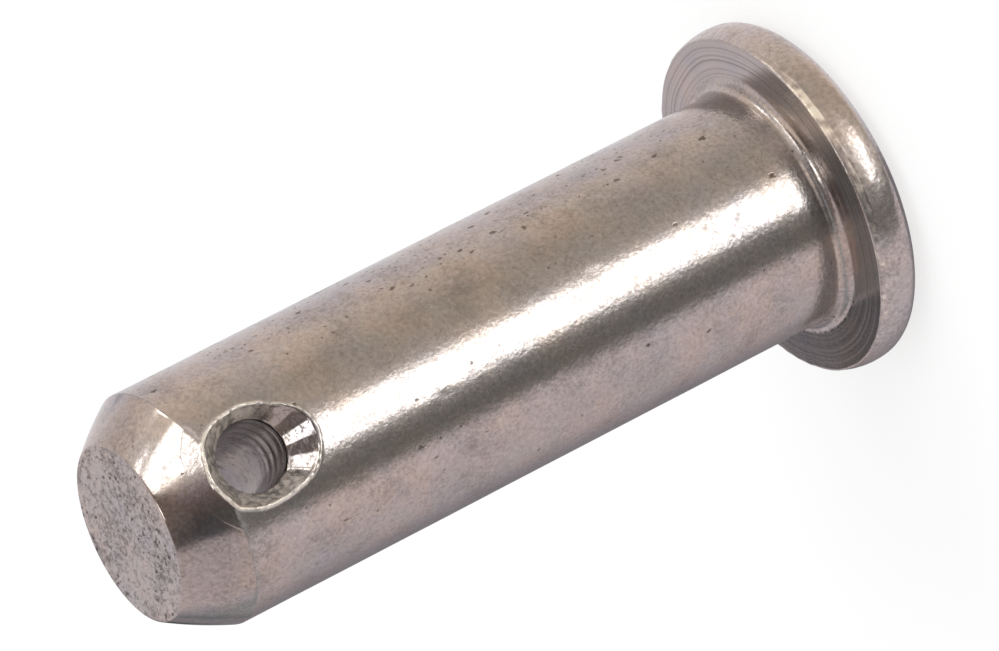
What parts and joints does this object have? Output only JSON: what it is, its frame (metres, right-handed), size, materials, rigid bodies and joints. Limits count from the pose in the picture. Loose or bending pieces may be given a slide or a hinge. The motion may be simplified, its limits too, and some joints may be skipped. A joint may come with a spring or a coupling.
{
  "type": "clevis pin",
  "caption": "Steel clevis pin: a plain shank with a thin flat head, and a countersunk cotter hole close to its chamfered end.",
  "frame": {"origin": "centre of the flat top of the head, which the pin stands on", "axes": "+Z along the shank from the head to the end face; the cotter hole runs along Y"},
  "size_m": [0.0206, 0.0206, 0.0461],
  "materials": {
    "turned_steel": "bare turned steel, dulled, with small pits and scratches"
  },
  "bodies": {
    "root": {"clevis_pin": "turned_steel"}
  },
  "joints": []
}
